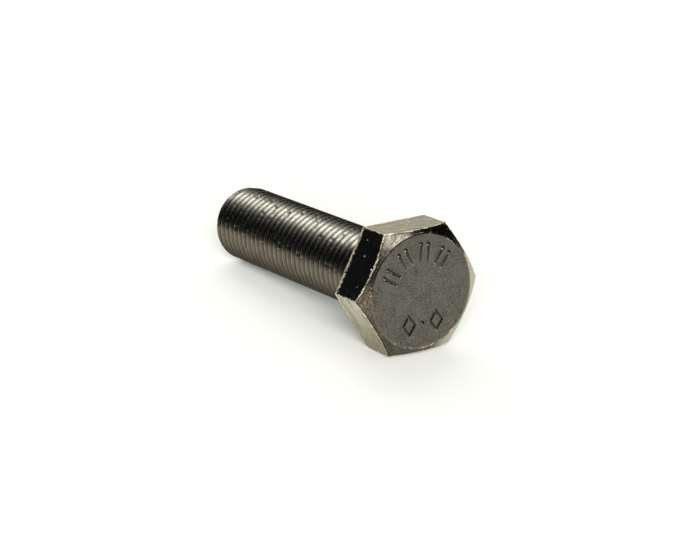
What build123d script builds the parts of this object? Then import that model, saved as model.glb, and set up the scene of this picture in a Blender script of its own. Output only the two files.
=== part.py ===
"""Hex bolt M22 x 2.5 x 80, threaded to the head, ISO 4017 proportions. Millimetres.

The bolt lies on its side: the axis is +Y from the head to the tip, one flat of the hexagon
faces down (-Z), and the origin is the centre of the bearing face under the head. A bolt of
this kind is one forged and thread-rolled piece of steel, so it is one solid.
"""
from build123d import *
from math import cos, pi, radians, tan
import os

# Driving dimensions: shank and thread
thread_diameter = 22.0          # major diameter of the thread
pitch = 2.5
bolt_length = 80.0              # from the bearing face to the tip
underhead_radius = 0.8          # fillet between the neck and the bearing face
neck_length = 4.0               # plain neck at the blank's diameter, which the thread runs into
runout_start = 2.6              # the thread begins to rise out of the neck here
runout_angle = 30.0
tip_diameter = 17.6             # flat end of the tip
tip_chamfer_angle = 40.0        # cone at the tip, from the plane of the tip

# Driving dimensions: head
across_flats = 34.0
head_height = 13.65             # includes the washer face
washer_face_height = 0.8
washer_face_diameter = 31.4
crown_diameter = 31.7           # circle where the head's chamfer meets the flat top
chamfer_angle = 33.0            # head chamfer, from the plane of the top
rear_edge_radius = 0.65         # rounded edge round the back of the hexagon

# Driving dimensions: generic marks stamped in the top of the head
mark_depth = 0.4
mark_width = 0.84               # width of each stroke
bar_pairs = 4
bar_arc_radius = 10.6           # the bars stand on this circle
bar_length = 5.4
bar_pair_gap = 2.4              # between the two bars of a pair
bar_pair_step = 33.0            # degrees from one pair to the next
bar_arc_middle = 100.0          # degrees, the middle of the four pairs
diamond_size = (3.8, 5.4)
diamond_offset = 4.4            # a diamond stands this far each side of the dot
diamond_drop = 8.9              # the row of diamonds is this far below the centre
dot_diameter = 1.36             # also at the outer end of each bar

# Worked-out sizes
major_radius = thread_diameter / 2
thread_depth = 0.6134 * pitch
core_radius = major_radius - thread_depth
neck_radius = major_radius - 0.3248 * pitch
half_crest = pitch / 16
half_flank_angle = pi / 6
corner_radius = across_flats / 2 / cos(pi / 6)
washer_radius = washer_face_diameter / 2
tip_radius = tip_diameter / 2
clearance = 0.3                 # trimming cones run this far past what they trim


# Hexagonal head: extruded hexagon, rounded at the back, trimmed by one revolved outline
chamfer_height = (corner_radius + clearance - crown_diameter / 2) * tan(radians(chamfer_angle))
with BuildPart() as head:
    with BuildSketch(Plane.XZ.offset(washer_face_height)):
        RegularPolygon(radius=across_flats / 2, side_count=6, major_radius=False)
    extrude(amount=head_height - washer_face_height)
    fillet(head.edges().group_by(Axis.Y)[-1], radius=rear_edge_radius)
    with BuildSketch(Plane.XZ):
        Circle(washer_radius)
    extrude(amount=washer_face_height + rear_edge_radius)
    with BuildSketch(Plane.XY):
        with BuildLine():
            Polyline(
                (0, 0),
                (washer_radius, 0),
                (washer_radius, -washer_face_height),
                (corner_radius + clearance, -washer_face_height),
                (corner_radius + clearance, chamfer_height - head_height),
                (crown_diameter / 2, -head_height),
                (0, -head_height),
                close=True,
            )
        make_face()
    revolve(axis=Axis.Y, mode=Mode.INTERSECT)

# Threaded shank: a core cylinder and a trapezoid ridge swept along a right-hand helix, both
# longer than the bolt at each end, trimmed together by one revolved outline
helix_start = -pitch
trim_radius = major_radius + clearance
trim_rise = (trim_radius + clearance - neck_radius) / tan(radians(runout_angle))
trim_fall = (trim_radius - tip_radius) * tan(radians(tip_chamfer_angle))
ridge_root = -thread_depth - clearance / 2
half_root = half_crest - ridge_root * tan(half_flank_angle)
with BuildPart() as shank:
    with BuildLine() as helix:
        Helix(
            pitch=pitch,
            height=bolt_length - helix_start + pitch,
            radius=major_radius,
            center=(0, helix_start, 0),
            direction=(0, 1, 0),
        )
    start = helix.line @ 0
    outward = Vector(start.X, 0, start.Z).normalized()
    with BuildSketch(Plane(origin=start, x_dir=outward, z_dir=helix.line % 0)):
        with BuildLine():
            Polyline(
                (ridge_root, -half_root),
                (0, -half_crest),
                (0, half_crest),
                (ridge_root, half_root),
                close=True,
            )
        make_face()
    sweep(path=helix.line, is_frenet=True)
    with BuildSketch(Plane.XZ.offset(pitch)):
        Circle(core_radius)
    extrude(amount=-(bolt_length + 3 * pitch))
    with BuildSketch(Plane.XY):
        with BuildLine():
            Polyline(
                (0, 0),
                (core_radius - clearance, 0),
                (core_radius - clearance, runout_start - 2 * clearance),
                (neck_radius - clearance, runout_start),
                (trim_radius, runout_start + trim_rise),
                (trim_radius, bolt_length - trim_fall),
                (tip_radius, bolt_length),
                (0, bolt_length),
                close=True,
            )
        make_face()
    revolve(axis=Axis.Y, mode=Mode.INTERSECT)

# Whole bolt: shank, plain neck with its fillet, head, and the stamped marks
with BuildPart() as hex_bolt:
    add(shank.part)
    with BuildSketch(Plane.XY):
        with BuildLine():
            Polyline(
                (0, neck_length + neck_radius - core_radius),
                (0, -washer_face_height),
                (neck_radius + underhead_radius, -washer_face_height),
                (neck_radius + underhead_radius, 0),
            )
            RadiusArc(
                (neck_radius + underhead_radius, 0),
                (neck_radius, underhead_radius),
                underhead_radius,
            )
            Polyline(
                (neck_radius, underhead_radius),
                (neck_radius, neck_length),
                (core_radius - clearance, neck_length + neck_radius - core_radius),
                (0, neck_length + neck_radius - core_radius),
            )
        make_face()
    revolve(axis=Axis.Y)
    add(head.part)
    with BuildSketch(Plane.XZ.offset(head_height)):
        for pair in range(bar_pairs):
            angle = bar_arc_middle + (pair - (bar_pairs - 1) / 2) * bar_pair_step
            with PolarLocations(bar_arc_radius, 1, start_angle=angle):
                with GridLocations(0, bar_pair_gap, 1, 2):
                    SlotOverall(bar_length, mark_width)
                    with Locations(((bar_length - mark_width) / 2, 0)):
                        Circle(dot_diameter / 2)
        with Locations((0, -diamond_drop)):
            Circle(dot_diameter / 2)
        with Locations((-diamond_offset, -diamond_drop), (diamond_offset, -diamond_drop)):
            for grow, mode in ((mark_width, Mode.ADD), (-mark_width, Mode.SUBTRACT)):
                half_width = (diamond_size[0] + grow) / 2
                half_height = (diamond_size[1] + grow) / 2
                Polygon(
                    (half_width, 0),
                    (0, half_height),
                    (-half_width, 0),
                    (0, -half_height),
                    mode=mode,
                )
    extrude(amount=-mark_depth, mode=Mode.SUBTRACT)

hex_bolt.part.label = "hex_bolt"
os.makedirs("parts", exist_ok=True)
export_step(hex_bolt.part, "parts/hex_bolt.step")
print("volume", round(hex_bolt.part.volume, 1), "valid", hex_bolt.part.is_valid)
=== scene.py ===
"""Hex bolt M22 x 2.5 x 80 lying on white paper: one detailed mesh of dark worn steel in soft light.

Lengths are millimetres until the mesh is made. The axis is +Y from the head to the tip.
"""
import bpy
import math
from mathutils import Matrix, Vector, noise
from mathutils.geometry import delaunay_2d_cdt


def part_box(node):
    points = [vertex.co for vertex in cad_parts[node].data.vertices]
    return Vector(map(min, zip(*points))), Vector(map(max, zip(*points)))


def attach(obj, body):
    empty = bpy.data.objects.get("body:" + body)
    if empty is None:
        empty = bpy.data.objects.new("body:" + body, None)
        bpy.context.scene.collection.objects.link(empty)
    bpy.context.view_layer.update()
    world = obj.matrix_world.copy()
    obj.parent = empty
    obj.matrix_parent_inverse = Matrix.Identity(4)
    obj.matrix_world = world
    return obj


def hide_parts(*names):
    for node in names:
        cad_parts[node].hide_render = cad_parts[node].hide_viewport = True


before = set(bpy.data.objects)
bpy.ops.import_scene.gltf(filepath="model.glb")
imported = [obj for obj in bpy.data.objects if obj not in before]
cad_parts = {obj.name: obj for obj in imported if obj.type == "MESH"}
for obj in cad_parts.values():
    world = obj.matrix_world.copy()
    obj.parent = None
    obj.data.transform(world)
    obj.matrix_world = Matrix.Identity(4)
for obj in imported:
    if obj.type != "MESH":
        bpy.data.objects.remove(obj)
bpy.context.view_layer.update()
low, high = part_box("hex_bolt")

MM = 0.001

# Driving sizes. The frame gives the hexagon, the head's height and the length.
ACROSS_FLATS = (high.z - low.z) / MM
HEAD_HEIGHT = -low.y / MM
LENGTH = high.y / MM
PITCH = 2.5
MAJOR_RADIUS = 11.0
NECK_RADIUS = MAJOR_RADIUS - 0.3248 * PITCH
CORE_RADIUS = MAJOR_RADIUS - 0.6134 * PITCH
UNDERHEAD_RADIUS = 0.8
WASHER_RADIUS = 15.7
WASHER_HEIGHT = 0.8
CROWN_RADIUS = 15.85             # where the chamfer meets the flat crown
CHAMFER_ANGLE = math.radians(33)
TIP_RADIUS = 8.8
TIP_ANGLE = math.radians(40)
TIP_HOLLOW = [(8.2, 0.0), (7.6, 0.08), (6.0, 0.24), (3.0, 0.3)]   # radius and depth, towards the middle

# Rounding of the head's edges
WASHER_ROUND = 0.12
REAR_ROUND = 0.65
CORNER_ROUND = 0.35
EDGE_ROUND = 0.16
CROWN_ROUND = 0.9

# Places along the axis where the head's mesh ends and where the thread rises out of the neck
SHANK_START = 1.6
THREAD_START = 2.6
THREAD_FULL = 5.6

# One pitch of the thread: place along the pitch, and height from root (0) to crest (1)
THREAD_SHAPE = [
    (-0.45, 0.0), (-0.39, 0.085), (-0.105, 0.87), (-0.068, 0.96), (-0.024, 1.0),
    (0.024, 1.0), (0.068, 0.96), (0.105, 0.87), (0.39, 0.085), (0.45, 0.0),
]

# Generic marks pressed into the crown
MARK_DEPTH = 0.45
MARK_HALF_WIDTH = 0.42
MARK_DOT_RADIUS = 0.68
MARK_DOT_DEPTH = 0.60
BAR_INNER_DEPTH = 0.4 * MARK_DEPTH
BAR_OUTER_DEPTH = 0.9 * MARK_DEPTH
DIAMOND_DEPTH = 0.8 * MARK_DEPTH
LIP_HEIGHT = 0.04                # raised lip round each mark
LIP_OFFSET = 0.09
LIP_SPREAD = 0.07
LIP_FOOT = 0.05
BAR_PAIRS = 4
BAR_ARC_RADIUS = 10.6
BAR_ARC_MIDDLE = math.radians(100)
BAR_PAIR_STEP = math.radians(33)
BAR_PAIR_GAP = 2.4
BAR_LENGTH = 5.4
DIAMOND_WIDTH = 3.8
DIAMOND_HEIGHT = 5.4
DIAMOND_OFFSET = 4.4
DIAMOND_DROP = 8.9

# How closely the mesh follows the shapes
ROUND_STEPS = 3                  # faces across each rounded edge
SECTOR_STEPS = 26                # columns in half a side of the hexagon, besides those close to its corner
CORNER_DEGREES = [0.0, 0.25, 0.55, 1.0, 1.8, 3.2]
EDGE_FILL = [(0.25, 0.08), (0.6, 0.18), (1.4, 0.32)]   # rows beside an edge: distance, and at most this share
CROWN_BORDER = 1.2               # width of the ring of four-sided faces inside the crown's edge
CROWN_STEP = 0.8                 # between the crown's points away from the marks
RINGS_INSIDE = [1.0, 0.6, 0.35, 0.18, 0.06]            # curves inside a mark, in shares of half its width
RINGS_OUTSIDE = [0.0, 0.05, 0.1, 0.18, 0.3]            # curves round a mark, in millimetres from its edge
RING_STEP = 0.2                  # between points along a mark's straight side
RING_TURN_STEP = 0.14            # between points round a mark's end
RING_TOLERANCE = 0.015
ROW_GAP = 0.05                   # rows nearer than this to an end of the shank join that end

# Values that stand for "no edge near" and for plain faces in the numbers at each vertex
NO_EDGE = 9.0
NECK_RELIEF = 0.5
TIP_RELIEF = 0.6

# Wear: greatest depth of the knocks on the thread's crests, and of the chips and nicks along the head's edges
KNOCK_DEPTH = 0.12
CHIP_DEPTH = 0.07
NICK_DEPTH = 0.05
WORN_WIDTH = 0.8
HEAD_MIDDLE = -5.0               # chips in front of here point back, the others forward

# Material slots of the bolt's mesh
CROWN, FLATS, CHAMFER, THREAD, BACK = range(5)


# ------------------------------------------------------------------ shapes

def ease(start, end, value):
    """0 before start, 1 after end, eased between."""
    t = min(max((value - start) / (end - start), 0.0), 1.0)
    return t * t * (3 - 2 * t)


def off_corner(angle):
    """Angle from the nearest corner of the hexagon. The corners are at 0, 60, 120 degrees and so on."""
    sector = math.pi / 3
    return abs((angle + sector / 2) % sector - sector / 2)


def hexagon_radius(angle):
    """Distance from the axis to the hexagon with rounded corners."""
    off = off_corner(angle)
    flat = ACROSS_FLATS / 2
    arc_centre = (flat - CORNER_ROUND) / math.cos(math.pi / 6)
    tangent = math.pi / 6 - math.atan((flat - CORNER_ROUND) * math.tan(math.pi / 6) / flat)
    if off >= tangent:
        return flat / math.cos(math.pi / 6 - off)
    reach = CORNER_ROUND ** 2 - (arc_centre * math.sin(off)) ** 2
    return arc_centre * math.cos(off) + math.sqrt(reach)


def arc(before, corner, after, radius):
    """Points of the arc that rounds one corner of a path."""
    u = (before - corner).normalized()
    w = (after - corner).normalized()
    half = math.acos(max(-1.0, min(1.0, u.dot(w)))) / 2
    centre = corner + (u + w).normalized() * (radius / math.sin(half))
    first = corner + u * (radius / math.tan(half)) - centre
    last = corner + w * (radius / math.tan(half)) - centre
    turn = math.pi - 2 * half
    points = []
    for i in range(ROUND_STEPS + 1):
        share = i / ROUND_STEPS
        part = first * math.sin((1 - share) * turn) + last * math.sin(share * turn)
        points.append(centre + part / math.sin(turn))
    return points


def fill(a, b, limits):
    """Points between a and b, close together near both ends."""
    span = (b - a).length
    near = [min(distance, span * share) for distance, share in limits]
    places = near + [span / 2] + [span - d for d in reversed(near)]
    return [a.lerp(b, d / span) for d in places]


def head_column(angle):
    """The head's section at one angle, from the neck round to the crown.

    Each entry is (radius, y, slot of the stretch that starts there, distance to the nearest sharp edge)."""
    out = hexagon_radius(angle)
    edge_y = -HEAD_HEIGHT + (out - CROWN_RADIUS) * math.tan(CHAMFER_ANGLE)
    corners = [Vector(c) for c in (
        (NECK_RADIUS, SHANK_START),
        (NECK_RADIUS, 0.0),
        (WASHER_RADIUS, 0.0),
        (WASHER_RADIUS, -WASHER_HEIGHT),
        (out, -WASHER_HEIGHT),
        (out, edge_y),
        (CROWN_RADIUS, -HEAD_HEIGHT),
        (CROWN_RADIUS - CROWN_BORDER, -HEAD_HEIGHT),
    )]
    rounds = [UNDERHEAD_RADIUS, WASHER_ROUND, WASHER_ROUND, REAR_ROUND, EDGE_ROUND, CROWN_ROUND]
    stretches = [BACK, BACK, BACK, BACK, FLATS, CHAMFER, CROWN]
    sharp = corners[4:7]
    corner_gap = out * math.sin(off_corner(angle))
    arcs = [arc(*corners[i:i + 3], radius) for i, radius in enumerate(rounds)]
    column = []

    def add(point, slot):
        # The rear edge is rounded wide, so its wear reaches further
        rear = ((point - sharp[0]).length - REAR_ROUND) * 0.45
        gap = min(max(rear, 0.0), (point - sharp[1]).length, (point - sharp[2]).length)
        if slot == FLATS:
            gap = min(gap, corner_gap)
        column.append((point.x, point.y, slot, gap))

    add(corners[0], BACK)
    for i in range(6):
        for point in arcs[i][:-1]:
            add(point, stretches[i + 1] if i in (3, 5) else stretches[i])
        add(arcs[i][-1], stretches[i + 1])
        if i in (1, 3, 4):
            limits = EDGE_FILL[:1] if i == 1 else EDGE_FILL
            for point in fill(arcs[i][-1], arcs[i + 1][0], limits):
                add(point, stretches[i + 1])
    for share in (0.35, 0.7, 1.0):
        add(arcs[5][-1].lerp(corners[7], share), CROWN)
    return column


def sector_angles():
    """Angles in degrees over one sixth of a turn, close together at its two ends, the hexagon's corners."""
    start = CORNER_DEGREES[-1]
    half = CORNER_DEGREES + [start + (30 - start) * i / SECTOR_STEPS for i in range(1, SECTOR_STEPS + 1)]
    return half + [60 - a for a in reversed(half[1:-1])]


def shank_radius(y, height):
    """Radius of the shank at y, where the thread's profile stands at height between root and crest."""
    cone = TIP_RADIUS + (LENGTH - y) / math.tan(TIP_ANGLE)
    crest = min(MAJOR_RADIUS, cone)
    root = min(CORE_RADIUS, cone)
    full = root + (crest - root) * height
    return NECK_RADIUS + (full - NECK_RADIUS) * ease(THREAD_START, THREAD_FULL, y)


# ------------------------------------------------------------------ stamped marks

def mark_strokes():
    """The generic marks as straight strokes: pairs of radial bars above, two diamonds below."""
    bars, diamonds = [], []
    for pair in range(BAR_PAIRS):
        angle = BAR_ARC_MIDDLE + (pair - (BAR_PAIRS - 1) / 2) * BAR_PAIR_STEP
        along = Vector((math.cos(angle), math.sin(angle)))
        across = Vector((-along.y, along.x))
        reach = along * (BAR_LENGTH / 2 - MARK_HALF_WIDTH)
        for side in (-0.5, 0.5):
            middle = along * BAR_ARC_RADIUS + across * side * BAR_PAIR_GAP
            bars.append((middle - reach, middle + reach))
    for side in (-1, 1):
        middle = Vector((side * DIAMOND_OFFSET, -DIAMOND_DROP))
        ring = [
            middle + Vector((0, DIAMOND_HEIGHT / 2)), middle + Vector((DIAMOND_WIDTH / 2, 0)),
            middle - Vector((0, DIAMOND_HEIGHT / 2)), middle - Vector((DIAMOND_WIDTH / 2, 0)),
        ]
        diamonds += [(ring[i - 1], ring[i]) for i in range(4)]
    return bars, diamonds


BARS, DIAMONDS = mark_strokes()
DOTS = [Vector((0.0, -DIAMOND_DROP))] + [bar[1] for bar in BARS]

# Each mark as a thick line: its two ends, half its width, and its depth at both ends
MARKS = ([(a, b, MARK_HALF_WIDTH, BAR_INNER_DEPTH, BAR_OUTER_DEPTH) for a, b in BARS]
         + [(a, b, MARK_HALF_WIDTH, DIAMOND_DEPTH, DIAMOND_DEPTH) for a, b in DIAMONDS]
         + [(dot, dot, MARK_DOT_RADIUS, MARK_DOT_DEPTH, MARK_DOT_DEPTH) for dot in DOTS])


def mark_at(point):
    """Distance from a point to the nearest mark's edge, negative inside the mark, and the height there."""
    nearest, height = math.inf, 0.0
    for a, b, half, depth_a, depth_b in MARKS:
        span = b - a
        t = min(max((point - a).dot(span) / max(span.length_squared, 1e-9), 0.0), 1.0)
        distance = (point - a - span * t).length - half
        nearest = min(nearest, distance)
        if distance < 0:
            across = 1 + distance / half
            height = min(height, -(depth_a + (depth_b - depth_a) * t) * (1 - across ** 2))
    if nearest >= 0:
        lip = math.exp(-((nearest - LIP_OFFSET) / LIP_SPREAD) ** 2)
        height = LIP_HEIGHT * lip * min(nearest / LIP_FOOT, 1.0)
    return nearest, height


def mark_rings():
    """Points on curves that run along the marks at set distances from their edges."""
    points = []
    for a, b, half, _, _ in MARKS:
        along = (b - a).normalized() if a != b else Vector((1, 0))
        side = Vector((-along.y, along.x))
        straight = max(1, round((b - a).length / RING_STEP))
        for offset in [-share * half for share in RINGS_INSIDE] + RINGS_OUTSIDE:
            radius = half + offset
            ring = [a.lerp(b, i / straight) + side * radius * s for i in range(straight + 1) for s in (-1, 1)]
            if radius > 0:
                turn = max(5, round(math.pi * radius / RING_TURN_STEP))
                for i in range(1, turn):
                    q = math.pi * i / turn
                    out = along * math.sin(q) * radius
                    ring += [b + out + side * math.cos(q) * radius, a - out + side * math.cos(q) * radius]
            points += [p for p in ring if abs(mark_at(p)[0] - offset) < RING_TOLERANCE]
    return points


# ------------------------------------------------------------------ mesh

class Shell:
    """Vertices, faces and their slots, and two numbers at each vertex for the materials:
    edge, the distance to the nearest sharp edge, and relief, the height of the thread or of the marks."""

    def __init__(self):
        self.verts, self.faces, self.slots, self.edge, self.relief = [], [], [], [], []
        self.between = {}

    def point(self, x, y, z, edge=NO_EDGE, relief=0.0):
        self.verts.append(Vector((x, y, z)))
        self.edge.append(edge)
        self.relief.append(relief)
        return len(self.verts) - 1

    def polar(self, angle, radius, y, edge=NO_EDGE, relief=0.0):
        return self.point(radius * math.cos(angle), y, radius * math.sin(angle), edge, relief)

    def face(self, slot, *ids):
        """Adds a face: repeated corners are dropped, and points that lie along its sides are taken in."""
        ring = [v for i, v in enumerate(ids) if v != ids[i - 1]]
        if len(set(ring)) < 3:
            return
        full = []
        for i, v in enumerate(ring):
            full.append(v)
            full += self.between.get((v, ring[(i + 1) % len(ring)]), [])
        self.faces.append(full)
        self.slots.append(slot)


def build_head(shell, angles):
    """The head from the neck round to the crown's border, with one column of points at each angle."""
    sections = [head_column(a) for a in angles]
    columns = [[shell.polar(a, r, y, edge) for r, y, _, edge in s] for a, s in zip(angles, sections)]
    for c, left in enumerate(columns):
        right = columns[(c + 1) % len(columns)]
        for k in range(len(left) - 1):
            shell.face(sections[0][k][2], left[k], right[k], right[k + 1], left[k + 1])
    return columns


def build_shank(shell, angles, neck):
    """Rows of the shank climb one pitch per turn with the thread, and are cut off square at both ends."""
    tip = [shell.polar(a, TIP_RADIUS, LENGTH, relief=TIP_RELIEF) for a in angles]
    turns = math.ceil((LENGTH - SHANK_START) / PITCH) + 2
    rows = [(SHANK_START + PITCH * (turn + place), height)
            for turn in range(turns) for place, height in THREAD_SHAPE]
    columns = []
    for c, a in enumerate(angles):
        column = []
        for row_y, height in rows:
            y = row_y - PITCH * a / (2 * math.pi)
            if y <= SHANK_START + ROW_GAP:
                column.append(neck[c])
            elif y >= LENGTH - ROW_GAP:
                column.append(tip[c])
            else:
                relief = NECK_RELIEF + (height - NECK_RELIEF) * ease(THREAD_START, THREAD_FULL, y)
                column.append(shell.polar(a, shank_radius(y, height), y, relief=relief))
        columns.append(column)
    for c, left in enumerate(columns):
        last = c == len(columns) - 1
        right = columns[0 if last else c + 1]
        shift = len(THREAD_SHAPE) if last else 0
        for k in range(len(rows) - 1):
            start, end = max(k - shift, 0), max(k + 1 - shift, 0)
            shell.face(THREAD, left[k], left[k + 1], right[end], right[start])
    return tip


def build_tip(shell, angles, rim):
    """The slightly hollow end of the tip."""
    outer = rim
    for radius, depth in TIP_HOLLOW:
        inner = [shell.polar(a, radius, LENGTH - depth, relief=TIP_RELIEF) for a in angles]
        for c in range(len(angles)):
            after = (c + 1) % len(angles)
            shell.face(THREAD, outer[c], inner[c], inner[after], outer[after])
        outer = inner
    deepest = TIP_HOLLOW[-1][1]
    centre = shell.point(0, LENGTH - deepest, 0, relief=TIP_RELIEF)
    for c in range(len(angles)):
        shell.face(THREAD, outer[c], centre, outer[(c + 1) % len(angles)])


def build_crown(shell, rim):
    """Triangles over the flat crown, close together round the marks."""
    flat = [Vector((shell.verts[v].x, shell.verts[v].z)) for v in rim]
    rim_radius = flat[0].length
    rings = []
    recent, least_gap, rim_gap = 160, 0.03, 0.1
    for point in mark_rings():
        clear = all((point - other).length > least_gap for other in rings[-recent:])
        if clear and point.length < rim_radius - rim_gap:
            rings.append(point)
    flat += rings
    row = CROWN_STEP * math.sin(math.pi / 3)
    steps = int(rim_radius / row)
    mark_gap, rim_gap = 0.45, 0.4
    for j in range(-steps, steps + 1):
        for i in range(-steps, steps + 1):
            point = Vector(((i + 0.5 * (j % 2)) * CROWN_STEP, j * row))
            if point.length < rim_radius - rim_gap and mark_at(point)[0] > mark_gap:
                flat.append(point)
    edges = [(i, (i + 1) % len(rim)) for i in range(len(rim))]
    points, _, triangles, origins, _, _ = delaunay_2d_cdt(flat, edges, [], 0, 1e-6)
    ids = []
    for point, origin in zip(points, origins):
        if origin and origin[0] < len(rim):
            ids.append(rim[origin[0]])
        else:
            height = mark_at(point)[1]
            edge = CROWN_RADIUS - point.length
            ids.append(shell.point(point.x, -HEAD_HEIGHT - height, point.y, edge, height / MARK_DEPTH))
    for triangle in triangles:
        shell.face(CROWN, *[ids[i] for i in triangle])


def wear(shell):
    """Knocks and hollows of use, as small moves of the points: most of them along the head's sharp edges."""
    for i, v in enumerate(shell.verts):
        if v.y > SHANK_START:
            knock = ease(0.3, 0.6, noise.noise(v * 0.9 + Vector((7, 0, 0)))) * KNOCK_DEPTH
            radial = Vector((v.x, 0, v.z)).normalized()
            v -= radial * knock * max(shell.relief[i], 0)
        elif v.y < -WASHER_HEIGHT:
            near = 1 - ease(0.05, WORN_WIDTH, shell.edge[i])
            chip = ease(0.2, 0.6, noise.noise(v * 1.3)) * CHIP_DEPTH
            nick = ease(0.3, 0.7, noise.noise(v * 3.1)) * NICK_DEPTH
            inward = Vector((-v.x, 0, -v.z)).normalized() * 0.7
            inward.y = 0.7 if v.y < HEAD_MIDDLE else -0.7
            v += inward * (chip + nick) * near


def build_bolt():
    """The whole bolt as one closed mesh. The shank has only every other column of the head, and none of those
    close beside a corner, so the neck's points in between are taken into the shank's first faces."""
    angles, shank = [], []
    for sector in range(6):
        for degrees in sector_angles():
            beside_corner = 0 < 30 - abs(degrees - 30) < 3
            if len(angles) % 2 == 0 and not beside_corner:
                shank.append(len(angles))
            angles.append(math.radians(60 * sector + degrees))
    shell = Shell()
    head = build_head(shell, angles)
    neck = [column[0] for column in head]
    for a, b in zip(shank, shank[1:] + [len(neck)]):
        passed = neck[a + 1:b]
        shell.between[neck[a], neck[b % len(neck)]] = passed
        shell.between[neck[b % len(neck)], neck[a]] = passed[::-1]
    sparse = [angles[i] for i in shank]
    tip = build_shank(shell, sparse, [neck[i] for i in shank])
    build_tip(shell, sparse, tip)
    build_crown(shell, [column[-1] for column in head])
    wear(shell)

    mesh = bpy.data.meshes.new("bolt_forging")
    mesh.from_pydata([v * MM for v in shell.verts], [], shell.faces)
    mesh.polygons.foreach_set("material_index", shell.slots)
    mesh.polygons.foreach_set("use_smooth", [True] * len(shell.faces))
    for name, values in (("edge", shell.edge), ("relief", shell.relief)):
        mesh.attributes.new(name, "FLOAT", "POINT").data.foreach_set("value", values)
    mesh.update()
    obj = bpy.data.objects.new("bolt_forging", mesh)
    bpy.context.scene.collection.objects.link(obj)
    return obj


# ------------------------------------------------------------------ materials

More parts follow.
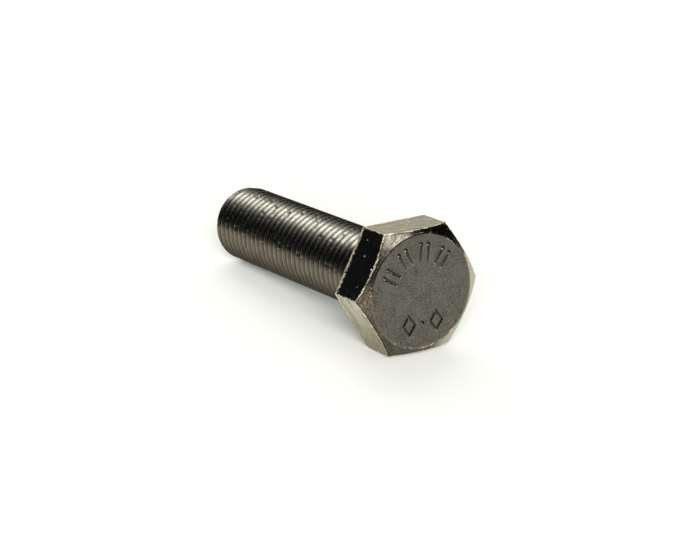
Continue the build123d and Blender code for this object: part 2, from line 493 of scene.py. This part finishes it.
class Nodes:
    """A short way to write one material's nodes. Inputs are sockets or plain values."""

    def __init__(self, name):
        self.material = bpy.data.materials.new(name)
        self.material.use_nodes = True
        self.tree = self.material.node_tree
        self.shader = self.tree.nodes["Principled BSDF"]
        place = self.tree.nodes.new("ShaderNodeTexCoord")
        self.mm = self.vector("SCALE", place.outputs["Object"], scale=1 / MM)
        self.normal = place.outputs["Normal"]    # in the object's own axes

    def put(self, socket, value):
        if isinstance(value, bpy.types.NodeSocket):
            self.tree.links.new(value, socket)
        elif isinstance(value, tuple) and len(value) == 3 and socket.type == "RGBA":
            socket.default_value = (*value, 1)
        else:
            socket.default_value = value

    def vector(self, operation, a, b=None, scale=None):
        node = self.tree.nodes.new("ShaderNodeVectorMath")
        node.operation = operation
        self.put(node.inputs[0], a)
        if b is not None:
            self.put(node.inputs[1], b)
        if scale is not None:
            node.inputs["Scale"].default_value = scale
        return node.outputs[1 if operation == "DOT_PRODUCT" else 0]

    def along(self, axis):
        """Place along an axis through the origin, in millimetres where the axis has length 1."""
        return self.vector("DOT_PRODUCT", self.mm, axis)

    def math(self, operation, a, b=0.0):
        node = self.tree.nodes.new("ShaderNodeMath")
        node.operation = operation
        self.put(node.inputs[0], a)
        self.put(node.inputs[1], b)
        return node.outputs[0]

    def times(self, a, b):
        return self.math("MULTIPLY", a, b)

    def plus(self, a, b):
        return self.math("ADD", a, b)

    def minus(self, a, b):
        return self.math("SUBTRACT", a, b)

    def most(self, a, b):
        return self.math("MAXIMUM", a, b)

    def noise(self, per_mm, detail=3.0, stretch=(1, 1, 1), shift=0.0):
        """Noise from 0 to 1. A shift changes the pattern. A stretch under 1 draws it out along that axis."""
        node = self.tree.nodes.new("ShaderNodeTexNoise")
        place = self.vector("MULTIPLY", self.mm, tuple(per_mm * s for s in stretch))
        place = self.vector("ADD", place, (shift, 2 * shift, 3 * shift))
        self.put(node.inputs["Vector"], place)
        node.inputs["Scale"].default_value = 1.0
        node.inputs["Detail"].default_value = detail
        node.inputs["Roughness"].default_value = 0.6
        return node.outputs["Fac"]

    def streaks(self, degrees, length, width, amount, shift):
        """1 inside long thin scratches of the crown that run at an angle to X, else 0."""
        a = math.radians(degrees)
        place = self.tree.nodes.new("ShaderNodeCombineXYZ")
        self.put(place.inputs[0], self.times(self.along((math.cos(a), 0, math.sin(a))), 1 / length))
        self.put(place.inputs[1], self.times(self.along((-math.sin(a), 0, math.cos(a))), 1 / width))
        place.inputs[2].default_value = shift
        fine = self.tree.nodes.new("ShaderNodeTexNoise")
        self.put(fine.inputs["Vector"], place.outputs[0])
        fine.inputs["Scale"].default_value = 1.0
        fine.inputs["Detail"].default_value = 1.0
        soft = 0.08
        return self.step(fine.outputs["Fac"], 1 - amount, 1 - amount + soft)

    def scratches(self, kinds):
        """The strongest of several kinds of scratch. A kind is what streaks takes, and then a strength."""
        found = 0.0
        for *kind, strength in kinds:
            found = self.most(found, self.times(self.streaks(*kind), strength))
        return found

    def specks(self, per_mm, size, shift=0.0):
        """1 inside small scattered spots, else 0."""
        node = self.tree.nodes.new("ShaderNodeTexVoronoi")
        self.put(node.inputs["Vector"], self.vector("ADD", self.mm, (shift, shift, shift)))
        node.inputs["Scale"].default_value = per_mm
        return self.step(node.outputs["Distance"], size, size * 0.5)

    def step(self, value, start, end):
        """0 at start, 1 at end, eased between. It falls where start is more than end."""
        node = self.tree.nodes.new("ShaderNodeMapRange")
        node.interpolation_type = "SMOOTHSTEP"
        self.put(node.inputs["Value"], value)
        self.put(node.inputs["From Min"], min(start, end))
        self.put(node.inputs["From Max"], max(start, end))
        node.inputs["To Min"].default_value = 0.0 if start < end else 1.0
        node.inputs["To Max"].default_value = 1.0 if start < end else 0.0
        return node.outputs["Result"]

    def mix(self, share, a, b):
        """Colour a where share is 0, b where it is 1."""
        node = self.tree.nodes.new("ShaderNodeMix")
        node.data_type = "RGBA"
        self.put(node.inputs[0], share)
        self.put(node.inputs[6], a)
        self.put(node.inputs[7], b)
        return node.outputs[2]

    def paint(self, under, colour, where, strength=1.0):
        """A colour laid over what is under it, where a mask is 1."""
        return self.mix(self.times(where, strength), under, colour)

    def blend(self, share, a, b):
        """Number a where share is 0, b where it is 1."""
        node = self.tree.nodes.new("ShaderNodeMix")
        self.put(node.inputs[0], share)
        self.put(node.inputs[2], a)
        self.put(node.inputs[3], b)
        return node.outputs[0]

    def attribute(self, name):
        node = self.tree.nodes.new("ShaderNodeAttribute")
        node.attribute_name = name
        return node.outputs["Fac"]

    def bump(self, height, distance, after=None):
        """Bump of height 0 to 1, distance millimetres deep."""
        node = self.tree.nodes.new("ShaderNodeBump")
        node.inputs["Distance"].default_value = distance * MM
        self.put(node.inputs["Height"], height)
        if after is not None:
            self.put(node.inputs["Normal"], after)
        return node.outputs["Normal"]

    def finish(self, colour, rough, normal, metal=1.0):
        self.put(self.shader.inputs["Base Color"], colour)
        self.put(self.shader.inputs["Roughness"], rough)
        self.put(self.shader.inputs["Metallic"], metal)
        self.put(self.shader.inputs["Specular Tint"], GLANCE)
        self.put(self.shader.inputs["Normal"], normal)
        return self.material


BRIGHT = (0.76, 0.695, 0.55)      # worn bare steel, also the painted highlight on the marks' lips
GOLDEN = (0.56, 0.43, 0.26)       # worn steel with old oil on it
STEEL = (0.37, 0.352, 0.28)       # the glossy sides
GLANCE = (0.92, 0.88, 0.74)       # the steel seen nearly edge on
RUST = (0.115, 0.078, 0.046)
# Soot, also used as painted shade on the marks' walls and on the crown's upper left edge, and for a dark band
# on the chamfer
SOOT_AND_SHADE = (0.02, 0.018, 0.016)

WORN_ROUGHNESS = 0.52
WORN_MATT = 0.35                  # share of worn steel that scatters light as paint does


def shade(colour, share):
    """A darker version of a colour."""
    return tuple(share * c for c in colour)


def edge_wear(n, reach, shift):
    """1 where an edge is rubbed bright: ragged, broken, and weaker on the lower edges of the hexagon."""
    upper = n.step(n.along((0, 0, 1)), -9.0, 2.0)
    amount = n.times(n.blend(upper, 0.62, 1.0), reach)
    broken = n.blend(n.step(n.noise(1.7, 5, shift=shift), 0.36, 0.68), 0.12, 1.35)
    return n.step(n.minus(n.attribute("edge"), n.times(broken, amount)), 0.0, -0.12)


CROWN_DARK = (0.08, 0.0753, 0.0625)
CROWN_PALE = (0.14, 0.1325, 0.1107)
CROWN_GRAIN = (0.28, 0.265, 0.22)
CROWN_SCRATCH = (0.34, 0.32, 0.265)
CROWN_SMUDGE = (0.05, 0.046, 0.037)
CROWN_SPOT = (0.45, 0.4, 0.31)
CROWN_EDGE = (0.64, 0.536, 0.376)
MARK_STEEL = (0.17, 0.158, 0.127)

# Scratches: degrees from X, length, width, share of the face, pattern, strength
CROWN_STREAKS = [
    (48, 3.2, 0.16, 0.33, 3, 0.6),
    (20, 4.5, 0.2, 0.32, 9, 0.5),
    (118, 2.4, 0.18, 0.31, 5, 0.45),
]


def crown_material():
    """Matt grey face with fine scratches, painted shade and painted highlights on the walls of its marks, and
    a worn edge with a painted dark line at its upper left.
    """
    n = Nodes("crown_steel")
    cloud = n.noise(0.22, 5)
    grain = n.noise(4.5, 4)
    lines = n.scratches(CROWN_STREAKS)
    smudge = n.step(n.noise(0.9, 5, stretch=(1, 1, 0.5), shift=14), 0.58, 0.7)
    colour = n.mix(n.step(cloud, 0.3, 0.7), CROWN_DARK, CROWN_PALE)
    colour = n.paint(colour, CROWN_GRAIN, n.step(grain, 0.4, 0.72))
    colour = n.paint(colour, CROWN_SCRATCH, lines)
    colour = n.paint(colour, CROWN_SMUDGE, smudge, 0.5)
    colour = n.paint(colour, CROWN_SPOT, n.specks(0.7, 0.13), 0.6)
    colour = n.paint(colour, SOOT_AND_SHADE, n.specks(1.3, 0.1, 5), 0.8)

    # Marks: smooth inside. Walls that face the lower left get painted shade, and lips on the opposite walls a
    # painted highlight
    relief = n.attribute("relief")
    facing = n.vector("DOT_PRODUCT", n.normal, (-0.6, 0, -0.8))
    pressed = n.most(n.step(relief, -0.03, -0.2), n.step(relief, 0.02, 0.06))
    painted_wall_shade = n.times(n.step(relief, -0.05, -0.3), n.step(facing, -0.25, 0.35))
    lip = n.times(n.step(n.math("ABSOLUTE", relief), 0.02, 0.1), n.step(facing, -0.12, -0.4))
    lip = n.times(lip, n.step(n.noise(0.9, 4, shift=4), 0.42, 0.58))
    colour = n.paint(colour, MARK_STEEL, pressed)
    colour = n.paint(colour, SOOT_AND_SHADE, painted_wall_shade, 0.92)
    colour = n.paint(colour, BRIGHT, lip, 0.75)

    # Edge: a painted dark line at the upper left, painted shade over the rounded edge where it would mirror
    # the light, and worn dashes, most of them at the top and the bottom
    edge = n.attribute("edge")
    upper_left = n.step(n.along((-0.5, 0, 0.87)), 9.0, 13.0)
    bottom = n.step(n.along((0.1, 0, -1)), 8.0, 14.0)
    top = n.step(n.along((0.45, 0, 0.9)), 14.0, 15.5)
    dashes = n.step(n.plus(n.noise(0.6, 5, shift=7), n.times(n.most(bottom, top), 0.14)), 0.6, 0.78)
    worn = n.step(n.minus(edge, n.times(dashes, 0.33)), 0.0, -0.1)
    colour = n.paint(colour, SOOT_AND_SHADE, n.times(n.step(edge, 0.26, 0.12), upper_left), 0.85)
    colour = n.paint(colour, CROWN_EDGE, worn)

    rough = n.blend(cloud, 0.42, 0.55)
    rough = n.blend(n.most(pressed, n.step(edge, 0.4, 0.2)), rough, 0.14)
    rough = n.blend(n.most(worn, lip), rough, 0.3)
    normal = n.bump(grain, 0.04)
    normal = n.bump(n.noise(1.2, 3, shift=2), 0.03, normal)
    normal = n.bump(lines, 0.03, normal)
    return n.finish(colour, rough, normal)


# Painted sheen for the upper end of the lower left flat
PAINTED_SHEEN_STEEL = (0.56, 0.555, 0.49)


def side_material(name, rough, lines, reach, shift):
    """Glossy dark steel with fine lines round the hexagon, stains, specks and ragged bright edges, and a
    painted reflection on the lower left flat.
    """
    n = Nodes(name)
    brushed = n.noise(1.0, 4, stretch=(0.1, 7.0, 0.1), shift=shift)
    cloud = n.noise(0.35, 4, shift=shift + 1)
    colour = n.mix(n.step(cloud, 0.35, 0.75), STEEL, shade(STEEL, 0.68))
    colour = n.paint(colour, BRIGHT, n.step(brushed, 0.5, 0.75), lines)

    # The lower left flat gets a painted reflection: painted sheen at its upper end, and painted shade towards
    # its lower end, which is duller. Its stains are also stronger towards its lower end, adding to the
    # painted shade.
    wear_and_sheen = n.step(n.along((-0.866, 0, -0.5)), 13.5, 16.0)
    down = n.along((0.5, 0, -0.866))
    colour = n.paint(colour, PAINTED_SHEEN_STEEL, n.step(down, 6.0, -9.0), wear_and_sheen)
    colour = n.paint(colour, shade(STEEL, 0.35), n.times(n.step(down, 0.0, 9.0), wear_and_sheen), 0.6)
    stain = n.step(n.noise(0.55, 5, stretch=(1, 2.2, 1), shift=shift + 8), 0.48, 0.66)
    strength = n.blend(wear_and_sheen, 0.2, n.blend(n.step(down, -9.0, 8.0), 0.3, 0.8))
    colour = n.paint(colour, shade(STEEL, 0.35), stain, strength)
    drawn = n.step(n.noise(1.0, 4, stretch=(0.12, 0.6, 0.12), shift=shift + 9), 0.48, 0.66)
    colour = n.paint(colour, shade(STEEL, 0.45), drawn, n.blend(wear_and_sheen, 0.3, 0.75))

    specks = n.specks(0.25, 0.085, shift)
    worn = edge_wear(n, reach, shift + 2)
    near = n.step(n.minus(n.attribute("edge"), n.times(cloud, 2.2)), 0.0, -0.4)
    scuff = n.times(near, n.step(n.noise(2.2, 4, shift=shift + 3), 0.5, 0.62))
    oiled = n.step(n.noise(0.9, 3, shift=shift + 7), 0.42, 0.56)
    colour = n.paint(colour, BRIGHT, specks)
    colour = n.paint(colour, RUST, scuff, 0.75)
    colour = n.paint(colour, n.mix(oiled, BRIGHT, GOLDEN), worn)

    roughness = n.blend(n.most(worn, specks), n.blend(cloud, rough, rough + 0.08), WORN_ROUGHNESS)
    normal = n.bump(brushed, 0.008)
    normal = n.bump(n.noise(0.5, 2, shift=shift + 5), 0.02, normal)
    normal = n.bump(n.noise(5.0, 2, shift=shift + 6), 0.005, normal)
    normal = n.bump(n.times(worn, n.noise(3.0, 3)), 0.06, normal)
    matt = n.most(specks, n.times(worn, WORN_MATT))
    return n.finish(colour, roughness, normal, metal=n.minus(1.0, matt))


CHAMFER_PALE = (0.128, 0.12, 0.098)
CHAMFER_DARK = (0.088, 0.082, 0.066)
CHAMFER_SCRATCH = (0.045, 0.041, 0.033)
CHAMFER_SCUFF = (0.23, 0.175, 0.115)
CHAMFER_FLAKE = (0.45, 0.39, 0.28)
CHAMFER_BARE = (0.43, 0.41, 0.345)
CHAMFER_STREAKS = [
    (62, 2.4, 0.26, 0.42, 2, 1.0),
    (25, 2.6, 0.24, 0.4, 6, 1.0),
    (130, 1.6, 0.25, 0.38, 4, 1.0),
]


def chamfer_material():
    """Scratched chamfer: scuffed and flaked at the left, bare at the right, with a ragged dark band beside
    the crown.
    """
    n = Nodes("chamfer_steel")
    patches = n.noise(0.5, 4, shift=21)
    scratches = n.scratches(CHAMFER_STREAKS)
    left = n.step(n.along((-0.94, 0, 0.34)), 12.5, 16.0)
    scuff = n.step(n.plus(n.noise(1.6, 5, shift=5), n.times(left, 0.09)), 0.56, 0.64)
    flakes = n.step(n.plus(n.noise(2.0, 4, shift=25), n.times(left, 0.06)), 0.65, 0.7)
    bare = n.step(n.along((1, 0, -0.25)), 6.0, 12.5)
    colour = n.mix(n.step(patches, 0.4, 0.65), CHAMFER_PALE, CHAMFER_DARK)
    colour = n.paint(colour, CHAMFER_SCRATCH, scratches, 0.75)
    colour = n.paint(colour, CHAMFER_SCUFF, n.times(scuff, left), 0.85)
    colour = n.paint(colour, CHAMFER_FLAKE, flakes, 0.8)
    colour = n.paint(colour, CHAMFER_BARE, bare)

    # A ragged dark band on the chamfer beside the crown, left out where the chamfer is bare
    ragged = n.step(n.noise(0.8, 4, shift=9), 0.36, 0.56)
    radius_squared = n.vector("DOT_PRODUCT", n.vector("MULTIPLY", n.mm, (1, 0, 1)), n.mm)
    outside = n.step(radius_squared, (CROWN_RADIUS + 0.3) ** 2, (CROWN_RADIUS + 0.7) ** 2)
    dark_band = n.times(n.times(n.step(n.attribute("edge"), 0.75, 0.4), ragged), outside)
    worn = edge_wear(n, 0.32, 7)
    colour = n.paint(colour, SOOT_AND_SHADE, dark_band, n.blend(bare, 0.65, 0.0))
    colour = n.paint(colour, BRIGHT, worn)

    upper_left = n.step(n.along((-0.8, 0, 0.6)), 9.0, 14.0)
    rough = n.blend(upper_left, n.blend(patches, 0.07, 0.14), n.blend(patches, 0.2, 0.36))
    rough = n.blend(n.most(worn, flakes), rough, WORN_ROUGHNESS)
    normal = n.bump(n.times(scratches, -1.0), 0.012)
    normal = n.bump(n.noise(2.5, 4, shift=8), 0.012, normal)
    matt = n.times(n.most(worn, flakes), WORN_MATT)
    return n.finish(colour, rough, normal, metal=n.minus(1.0, matt))


# Roots: partly grime, partly painted shade in the thread's hollows. The lower ones are for the lower half,
# where the painted shade reaches further up the flanks
ROOT_GRIME_AND_SHADE = (0.02, 0.0175, 0.0145)
THREAD_FLANK = (0.15, 0.143, 0.122)
LOWER_ROOT_SHADE = (0.032, 0.027, 0.021)
LOWER_FLANK = (0.168, 0.148, 0.118)
THREAD_CLOUD = (0.07, 0.058, 0.043)
THREAD_CREST = (0.27, 0.256, 0.208)
THREAD_HIGHLIGHT_BAND = (0.25, 0.24, 0.198)
THREAD_UNDERSIDE_SHADE = (0.03, 0.024, 0.019)
THREAD_TIP = (0.19, 0.167, 0.132)
COPPER = (0.30, 0.20, 0.13)


def thread_material():
    """Thread with dark roots, partly grime and partly painted shade, and worn crests, with a few copper
    spots. Over its lower half the painted shade reaches further up the flanks and it darkens towards the
    underside, and a painted highlight band runs along its top.
    """
    n = Nodes("thread_steel")
    relief = n.attribute("relief")
    height = n.along((0, 0, 1))
    cloud = n.noise(0.3, 4, shift=31)
    # Dark roots, partly grime and partly painted shade; over the lower half the painted shade reaches further
    # up the flanks
    upper_thread = n.mix(n.step(relief, 0.12, 0.7), ROOT_GRIME_AND_SHADE, THREAD_FLANK)
    lower_thread = n.mix(n.step(relief, 0.15, 0.8), LOWER_ROOT_SHADE, LOWER_FLANK)
    colour = n.mix(n.step(height, 6.0, 1.0), upper_thread, lower_thread)
    colour = n.paint(colour, THREAD_CLOUD, n.step(cloud, 0.45, 0.7), 0.35)

    crest = n.step(relief, 0.85, 0.98)
    wear_and_sheen = n.blend(n.step(n.noise(1.1, 3, shift=3), 0.42, 0.6), 0.3, 1.0)
    colour = n.paint(colour, THREAD_CREST, crest, wear_and_sheen)
    # Painted highlight: a paler band along the top of the thread, where the light falls on it
    colour = n.paint(colour, THREAD_HIGHLIGHT_BAND, n.step(height, 9.2, 10.8), 0.8)
    # Painted shade: darker towards the underside of the shank
    colour = n.paint(colour, THREAD_UNDERSIDE_SHADE, n.step(height, 0.0, -8.5), 0.8)
    tip = n.step(n.along((0, 1, 0)), LENGTH - 2.4, LENGTH - 1.4)
    colour = n.paint(colour, THREAD_TIP, tip, 0.8)
    spots = n.times(n.specks(0.42, 0.16, 2), n.step(relief, 0.3, 0.7))
    colour = n.paint(colour, COPPER, spots, 0.7)

    rough = n.blend(crest, n.blend(cloud, 0.2, 0.3), 0.2)
    return n.finish(colour, rough, n.bump(n.noise(1.5, 3, shift=1), 0.012))


# ------------------------------------------------------------------ scene

def paper_material():
    n = Nodes("white_paper")
    return n.finish((0.9, 0.9, 0.89), 0.9, n.bump(n.noise(1.5, 3), 0.02), metal=0.0)


def build_floor():
    """The bolt rests on the edge of the hexagon and on the last crest of its thread, so the floor slopes."""
    by_head = Vector((0, -WASHER_HEIGHT - REAR_ROUND / 2, -ACROSS_FLATS / 2)) * MM
    by_tip = Vector((0, LENGTH - (MAJOR_RADIUS - TIP_RADIUS), -MAJOR_RADIUS)) * MM
    slope = math.atan2(by_tip.z - by_head.z, by_tip.y - by_head.y)
    half = 0.9
    corners = [(-half, -half, 0), (half, -half, 0), (half, half, 0), (-half, half, 0)]
    mesh = bpy.data.meshes.new("floor")
    mesh.from_pydata(corners, [], [(0, 1, 2, 3)])
    floor = bpy.data.objects.new("floor", mesh)
    floor.location = by_head
    floor.rotation_euler = (slope, 0, 0)
    bpy.context.scene.collection.objects.link(floor)
    mesh.materials.append(paper_material())


def build_camera():
    aim = Vector((0, 0.0285, -0.0036))
    azimuth, elevation, roll = math.radians(31.865), math.radians(16.123), math.radians(-2.12)
    distance = 0.6333
    camera = bpy.data.objects.new("camera", bpy.data.cameras.new("camera"))
    bpy.context.scene.collection.objects.link(camera)
    turn = (Matrix.Rotation(-azimuth, 4, "Z") @ Matrix.Rotation(math.pi / 2 - elevation, 4, "X")
            @ Matrix.Rotation(roll, 4, "Z"))
    camera.matrix_world = Matrix.Translation(aim) @ turn @ Matrix.Translation((0, 0, distance))
    camera.data.sensor_width = 36
    camera.data.lens = 119.35
    camera.data.clip_start = 0.01
    bpy.context.scene.camera = camera


def direction(azimuth, elevation):
    """A unit vector. Azimuth 0 is +Y and turns towards +X, in degrees."""
    a, e = math.radians(azimuth), math.radians(elevation)
    return Vector((math.sin(a) * math.cos(e), math.cos(a) * math.cos(e), math.sin(e)))


# Soft boxes that the steel mirrors: azimuth, elevation, half angle inside which it is full, half angle where
# it ends, radiance. The last is the dim glow round the one before it
SOFT_BOXES = [
    (0, 90, 24, 40, 1.0),
    (12, 34, 5.5, 14, 4.9),
    (38, 10, 9, 19, 0.85),
    (170, 38, 5, 14.5, 10.2),
    (174, 35, 10, 34, 0.29),
]
ROOM = (0.0105, 0.0125, 0.0165)   # the dark rest of the room, seen in the steel
BACKDROP = (1.0, 1.0, 0.985)      # what the camera sees behind the paper

# Lamps that light the paper: azimuth, elevation, whole angle, strength
PAPER_LAMPS = [
    (0, 90, 180, 1.25),
    (28, 32, 62, 1.40),
    (210, 18, 34, 5.3),
]
LAMP_COLOUR = (1.0, 0.998, 0.957)


def build_lamps():
    """Suns light the paper. The steel doesn't mirror them, because it mirrors the soft boxes instead."""
    for azimuth, elevation, angle, strength in PAPER_LAMPS:
        lamp = bpy.data.lights.new("paper_lamp", "SUN")
        lamp.energy = strength
        lamp.angle = math.radians(angle)
        lamp.color = LAMP_COLOUR
        obj = bpy.data.objects.new("paper_lamp", lamp)
        obj.rotation_euler = direction(azimuth, elevation).to_track_quat("Z", "Y").to_euler()
        obj.visible_glossy = False
        bpy.context.scene.collection.objects.link(obj)


def build_room():
    """A dark room with soft boxes for the steel to mirror. The camera itself sees it white like the paper."""
    world = bpy.data.worlds.new("studio")
    bpy.context.scene.world = world
    world.cycles_visibility.diffuse = False
    world.use_nodes = True
    tree = world.node_tree

    def node(kind, *values, **settings):
        made = tree.nodes.new(kind)
        for name, value in settings.items():
            setattr(made, name, value)
        for socket, value in zip(made.inputs, values):
            if isinstance(value, bpy.types.NodeSocket):
                tree.links.new(value, socket)
            else:
                socket.default_value = value
        return made

    place = node("ShaderNodeTexCoord").outputs["Generated"]
    total = ROOM
    for azimuth, elevation, full, end, radiance in SOFT_BOXES:
        dot = node("ShaderNodeVectorMath", place, direction(azimuth, elevation), operation="DOT_PRODUCT")
        box = node("ShaderNodeMapRange", dot.outputs["Value"], math.cos(math.radians(end)),
                   math.cos(math.radians(full)), 0.0, radiance, interpolation_type="SMOOTHSTEP")
        total = node("ShaderNodeVectorMath", box.outputs["Result"], total).outputs[0]
    seen = node("ShaderNodeMix", data_type="RGBA")
    tree.links.new(node("ShaderNodeLightPath").outputs["Is Camera Ray"], seen.inputs[0])
    tree.links.new(total, seen.inputs[6])
    seen.inputs[7].default_value = (*BACKDROP, 1)
    tree.links.new(seen.outputs[2], tree.nodes["Background"].inputs["Color"])
    bpy.context.scene.view_settings.view_transform = "Standard"


bolt = build_bolt()
for material in (
    crown_material(),
    side_material("flat_steel", rough=0.13, lines=0.35, reach=0.38, shift=11),
    chamfer_material(),
    thread_material(),
    side_material("back_steel", rough=0.25, lines=0.2, reach=0.5, shift=17),
):
    bolt.data.materials.append(material)
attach(bolt, "root")
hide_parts("hex_bolt")

build_floor()
build_camera()
build_lamps()
build_room()
